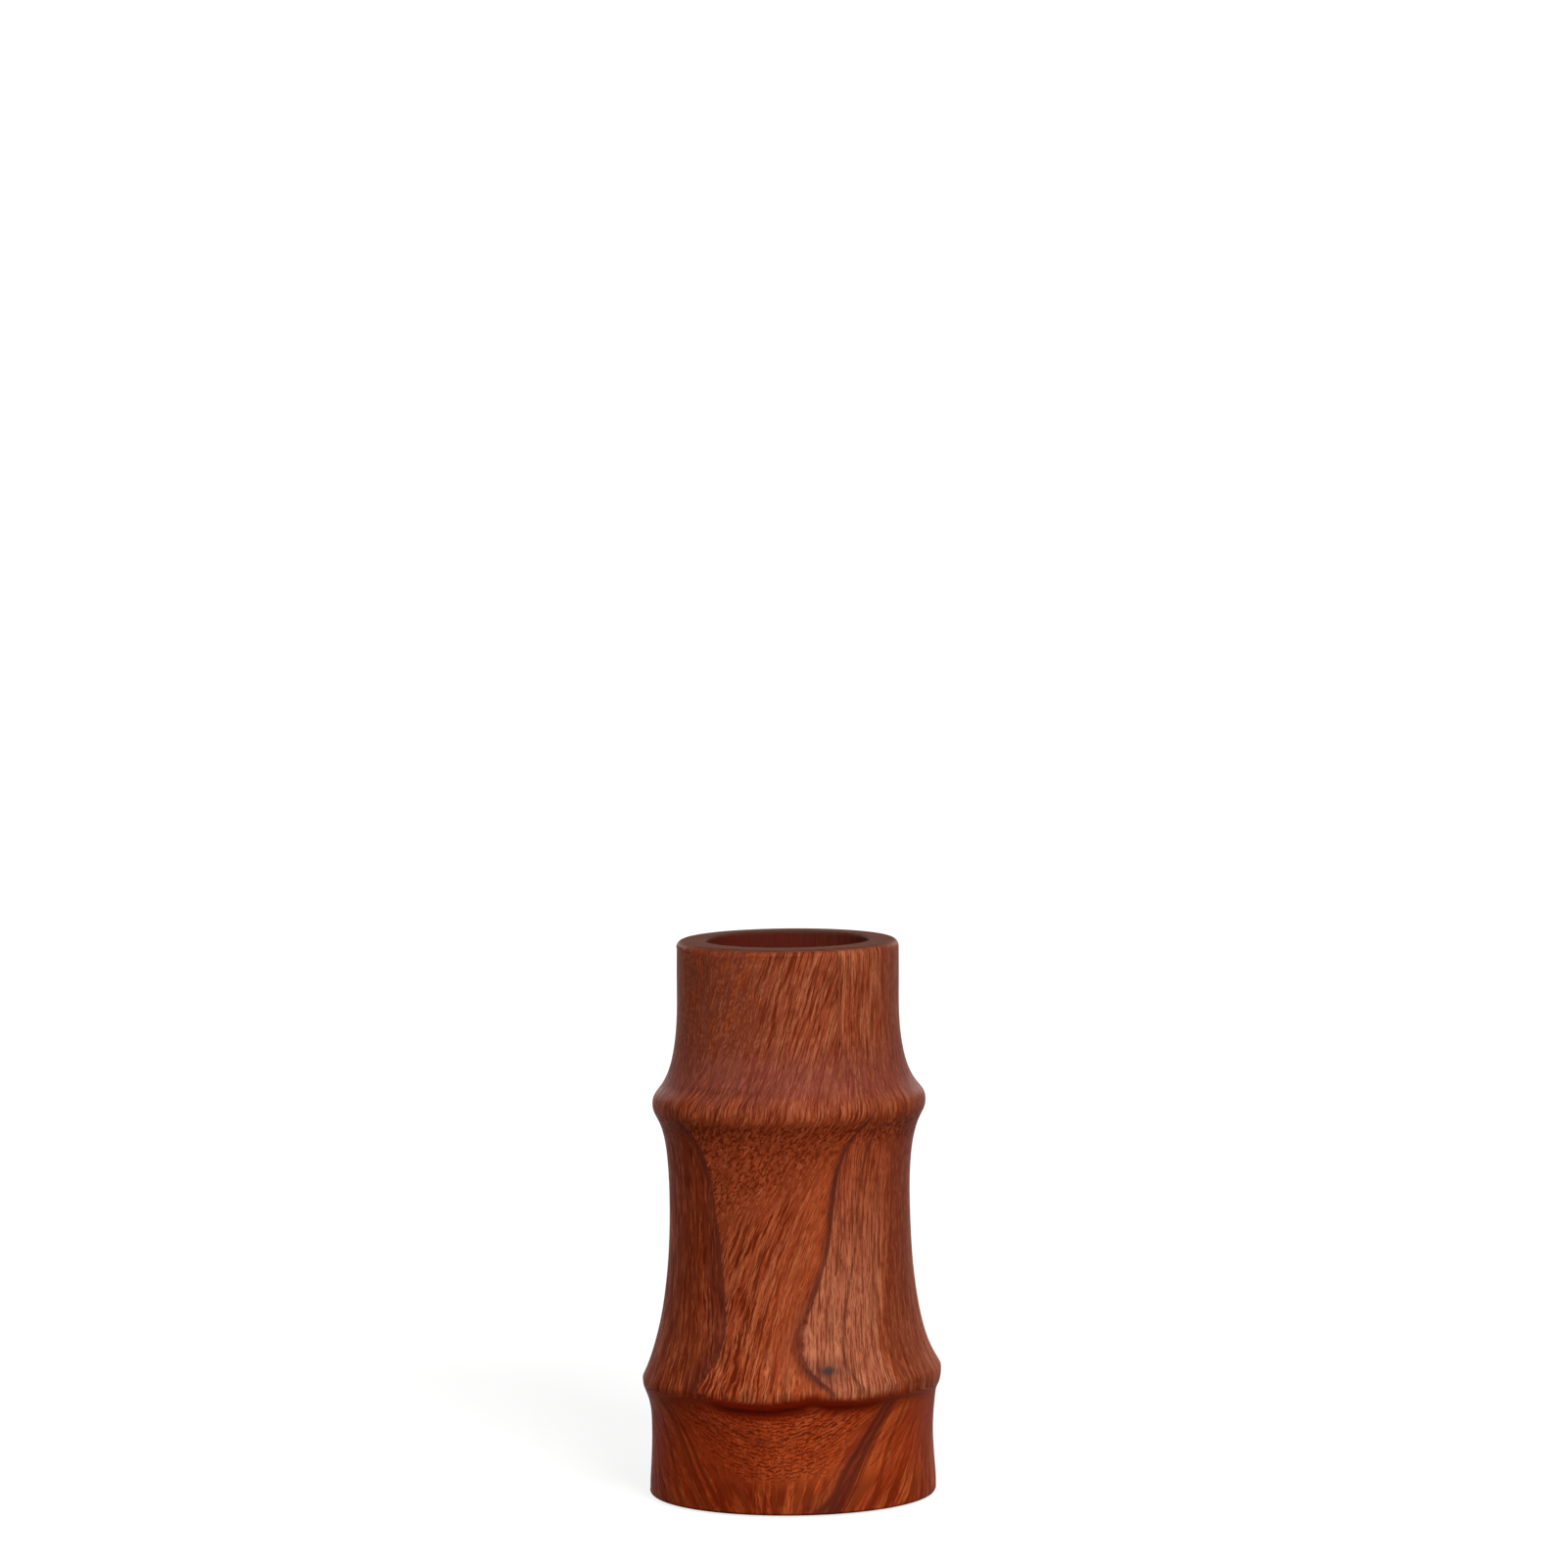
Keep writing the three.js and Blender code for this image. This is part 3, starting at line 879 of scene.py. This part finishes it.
def oiled_padauk():
    """Padauk, turned, sanded and oiled: red-brown layers with pale streaks, dark strokes and growth lines.
    The oil leaves a soft gloss that the open pores break."""
    colours = bpy.context.scene.vase_colours
    material, tree, shader = new_finish("oiled_padauk")
    billet = billet_place(tree)
    zones = figure_zones(tree, billet)
    fibres = fibre_place(tree, billet, zones)
    dark = dark_figure(tree, billet, zones, fibres)
    reach = knot_reach(tree, billet)
    wood = lay(
        tree, wood_ground(tree, billet, zones, fibres),
        (dark, colours.wood_dark),
        (growth_lines(tree, billet, zones), colours.wood_line_and_painted_shade),
        (where(tree, (reach, 4, 0.8), 0.45), colours.wood_line_and_painted_shade),
        (where(tree, (reach, 1.3, 0.2), 0.9), colours.knot),
    )
    finish_wood(tree, shader, wood, dark, where(tree, fine_pores(tree, fibres), zones.side), zones.end)
    return material


def planed_padauk():
    """The same wood cut as a disc with its fibres lying flat: even streaks and few lines."""
    colours = bpy.context.scene.vase_colours
    material, tree, shader = new_finish("planed_padauk")
    coords = add(tree, "TexCoord").outputs["Object"]
    turned = (0, math.radians(90), math.radians(30))
    place = add(tree, "Mapping", {"Vector": coords, "Rotation": turned, "Scale": (1 / MM, 1 / MM, 1 / MM)})
    dark = where(tree, (grain(tree, place, PLANED_STROKE, seed=2.2), 0.52, 0.36), 0.6)
    wood = lay(
        tree, rgba(colours.wood_red),
        (where(tree, (grain(tree, place, PLANED_STREAK, seed=1.1), 0.4, 0.66), 0.5), colours.wood_light),
        (dark, colours.wood_dark),
    )
    finish_wood(tree, shader, wood, dark, fine_pores(tree, place), end=0.3)
    return material


# Cork, glass and felt

CORK_GRAIN = 2.5 * MM
GLASS_WAVER = 18 * MM
FELT_FIBRE = 0.6 * MM   # spacing of the fibres, wider than real ones, so that they show


def pressed_cork():
    """Pressed cork granules: matt, pale brown grains a few millimetres wide in a darker binder."""
    colours = bpy.context.scene.vase_colours
    material, tree, shader = new_finish("pressed_cork")
    grains = {"Vector": add(tree, "TexCoord").outputs["Object"], "Scale": 1 / CORK_GRAIN}
    cells = add(tree, "TexVoronoi", grains)
    edges = add(tree, "TexVoronoi", grains, feature="DISTANCE_TO_EDGE")
    shade = add(tree, "SeparateColor", {"Color": cells.outputs["Color"]})
    dark = either(tree, where(tree, shade, 0.45), where(tree, (edges, 0.12, 0.02)))
    fill(tree, shader, {
        "Base Color": lay(tree, rgba(colours.cork_pale), (dark, colours.cork_dark)),
        "Normal": add(tree, "Bump", {"Height": edges, "Strength": 0.6, "Distance": 0.3 * MM}),
        "Roughness": 0.9,
    })
    return material


def blown_glass():
    """Blown clear glass: smooth and slightly green, with the faint waver of the melt."""
    colours = bpy.context.scene.vase_colours
    material, tree, shader = new_finish("blown_glass")
    coords = add(tree, "TexCoord").outputs["Object"]
    waver = add(tree, "TexNoise", {"Vector": coords, "Scale": 1 / GLASS_WAVER, "Detail": 1})
    fill(tree, shader, {
        "Base Color": rgba(colours.glass),
        "Normal": add(tree, "Bump", {"Height": waver, "Strength": 0.3, "Distance": 0.3 * MM}),
        "Roughness": add(tree, "MapRange", {"Value": waver, "To Min": 0.02, "To Max": 0.08}),
        "Transmission Weight": 1,
        "IOR": 1.5,
    })
    return material


def wool_felt():
    """Pressed wool felt: matt and dark, with paler fibres lying every way."""
    colours = bpy.context.scene.vase_colours
    material, tree, shader = new_finish("wool_felt")
    coords = add(tree, "TexCoord").outputs["Object"]
    fuzz = add(tree, "TexNoise", {"Vector": coords, "Scale": 1 / FELT_FIBRE, "Detail": 4, "Distortion": 1.5})
    fill(tree, shader, {
        "Base Color": lay(tree, rgba(colours.felt_dark), (where(tree, (fuzz, 0.4, 0.65)), colours.felt_pale)),
        "Normal": add(tree, "Bump", {"Height": fuzz, "Strength": 0.7, "Distance": 0.2 * MM}),
        "Roughness": 1,
        "Sheen Weight": 0.3,
    })
    return material


# Stage

FLOOR_FRONT = -4.0
FLOOR_BACK = 3.0
FLOOR_SIDE = 4.0
BACKDROP_HEIGHT = 3.0
BACKDROP_ROUND = 1.0
GLOW_START = 0.1        # distance from the vase at which the paper's own light begins to grow
GLOW_END = 1.5
NEAR_GLOW = 0.84        # with the lamps' light on it, the paper is then just white
FAR_GLOW = 0.94
STUDIO_LIGHT = 0.4      # even light that falls on the pieces
SENSOR_WIDTH = 36       # mm
CLIP_END = 50


def seen_white(tree):
    """A mask of the rays by which the studio is seen: straight, in a gloss or through glass."""
    rays = add(tree, "LightPath").outputs
    return either(tree, rays["Is Camera Ray"], rays["Is Glossy Ray"], rays["Is Transmission Ray"])


def studio_paper():
    """Matt studio paper that glows white where it is seen, and keeps a faint shadow of the vase."""
    colours = bpy.context.scene.vase_colours
    material, tree, shader = new_finish("studio_paper")
    seen = seen_white(tree)
    coords = add(tree, "TexCoord").outputs["Object"]
    away = add(tree, "VectorMath", {0: coords}, operation="LENGTH").outputs["Value"]
    glow = add(tree, "MapRange", {
        "Value": away, "From Min": GLOW_START, "From Max": GLOW_END, "To Min": NEAR_GLOW,
        "To Max": FAR_GLOW})
    fill(tree, shader, {
        "Base Color": lay(tree, rgba(colours.floor_bounce), (seen, colours.floor)),
        "Emission Color": (1, 1, 1, 1),
        "Emission Strength": where(tree, seen, glow),
        "Roughness": 1,
        "Specular IOR Level": 0,
    })
    return material


def select_edges(mesh_data, wanted):
    """Selects the edges of the mesh in edit mode whose ends both stand where they are wanted."""
    mesh = bmesh.from_edit_mesh(mesh_data)
    for edge in mesh.edges:
        edge.select = all(wanted(v.co) for v in edge.verts)
    mesh.select_flush_mode()
    bmesh.update_edit_mesh(mesh_data)


def lay_paper():
    """Lays the floor and sweeps it up into the backdrop."""
    bpy.ops.object.select_all(action="DESELECT")
    bpy.ops.mesh.primitive_plane_add(size=1, location=(0, 0, 0))
    paper = bpy.context.object
    paper.name = "studio_paper"
    paper.scale = (2 * FLOOR_SIDE, FLOOR_BACK - FLOOR_FRONT, 1)
    paper.location = (0, (FLOOR_BACK + FLOOR_FRONT) / 2, 0)
    bpy.ops.object.transform_apply(location=True, rotation=True, scale=True)
    bpy.ops.object.mode_set(mode="EDIT")
    bpy.ops.mesh.select_all(action="DESELECT")
    select_edges(paper.data, lambda point: point.y > FLOOR_BACK - WELD)
    bpy.ops.mesh.extrude_region_move(TRANSFORM_OT_translate={"value": (0, 0, BACKDROP_HEIGHT)})
    select_edges(paper.data, lambda point: abs(point.y - FLOOR_BACK) < WELD and abs(point.z) < WELD)
    bpy.ops.mesh.bevel(offset=BACKDROP_ROUND, segments=16, affect="EDGES")
    bpy.ops.object.mode_set(mode="OBJECT")
    bpy.ops.object.shade_smooth()
    paper.data.materials.append(studio_paper())


def hang_lamp(name, place, size, watts):
    """Hangs a square soft box that faces the vase."""
    bpy.ops.object.light_add(type="AREA", location=place)
    lamp = bpy.context.object
    lamp.name = name
    lamp.data.shape = "SQUARE"
    lamp.data.size = size
    lamp.data.energy = watts
    target = Vector((0, 0, BODY_HIGH.z / 2))
    lamp.rotation_euler = (target - Vector(place)).to_track_quat("-Z", "Y").to_euler()


def light_world(context):
    """Fills the studio with even light, white where it is seen."""
    world = bpy.data.worlds.new("studio")
    context.scene.world = world
    world.use_nodes = True
    tree = world.node_tree
    tree.nodes.clear()
    level = add(tree, "MapRange", {"Value": seen_white(tree), "To Min": STUDIO_LIGHT, "To Max": 1.0})
    light = add(tree, "Background", {"Color": (1, 1, 1, 1), "Strength": level})
    add(tree, "OutputWorld", {"Surface": light})


def set_camera(context):
    """Stands the camera where the photograph was taken from."""
    view = context.scene.vase_view
    bpy.ops.object.camera_add(location=(view.aside, -view.distance, view.height))
    camera = bpy.context.object
    level = Matrix.Rotation(math.radians(90) - view.pitch, 3, "X")
    camera.rotation_euler = (level @ Matrix.Rotation(-view.roll, 3, "Z")).to_euler()
    camera.data.lens = view.lens
    camera.data.sensor_width = SENSOR_WIDTH
    camera.data.clip_end = CLIP_END
    context.scene.camera = camera


class VASE_OT_stage(bpy.types.Operator):
    """Set up the floor, the lights and the camera"""
    bl_idname = "vase.stage"
    bl_label = "Stage"

    def execute(self, context):
        context.scene.view_settings.view_transform = "Standard"
        lay_paper()
        hang_lamp("key", place=(0.75, -1.85, 1.27), size=0.9, watts=47)
        hang_lamp("fill", place=(-1.6, -1.0, 0.8), size=1.2, watts=7)
        hang_lamp("back_left", place=(-0.9, 2.1, 0.9), size=1.0, watts=18)
        hang_lamp("back_right", place=(0.9, 2.1, 0.9), size=1.0, watts=18)
        light_world(context)
        set_camera(context)
        return {"FINISHED"}


class VASE_PT_panel(bpy.types.Panel):
    """Lists the vase's pieces in the sidebar"""
    bl_label = "Turned Vase"
    bl_idname = "VASE_PT_panel"
    bl_space_type = "VIEW_3D"
    bl_region_type = "UI"
    bl_category = "Vase"

    def draw(self, context):
        for operator in OPERATORS:
            self.layout.operator(operator.bl_idname)
        for group in (context.scene.vase_sizes, context.scene.vase_colours, context.scene.vase_view):
            box = self.layout.box()
            for name in group.__annotations__:
                box.prop(group, name)


OPERATORS = (VASE_OT_body, VASE_OT_base_disc, VASE_OT_cushion, VASE_OT_liner, VASE_OT_pads, VASE_OT_stage)
CLASSES = (VaseSizes, VaseColours, VaseView, *OPERATORS, VASE_PT_panel)


def register():
    for item in CLASSES:
        bpy.utils.register_class(item)
    bpy.types.Scene.vase_sizes = PointerProperty(type=VaseSizes)
    bpy.types.Scene.vase_colours = PointerProperty(type=VaseColours)
    bpy.types.Scene.vase_view = PointerProperty(type=VaseView)


def unregister():
    del bpy.types.Scene.vase_view
    del bpy.types.Scene.vase_colours
    del bpy.types.Scene.vase_sizes
    for item in reversed(CLASSES):
        bpy.utils.unregister_class(item)


def main():
    register()
    bpy.ops.vase.body()
    bpy.ops.vase.base_disc()
    bpy.ops.vase.cushion()
    bpy.ops.vase.liner()
    bpy.ops.vase.pads()
    bpy.ops.vase.stage()
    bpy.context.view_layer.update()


if __name__ == "__main__":
    main()
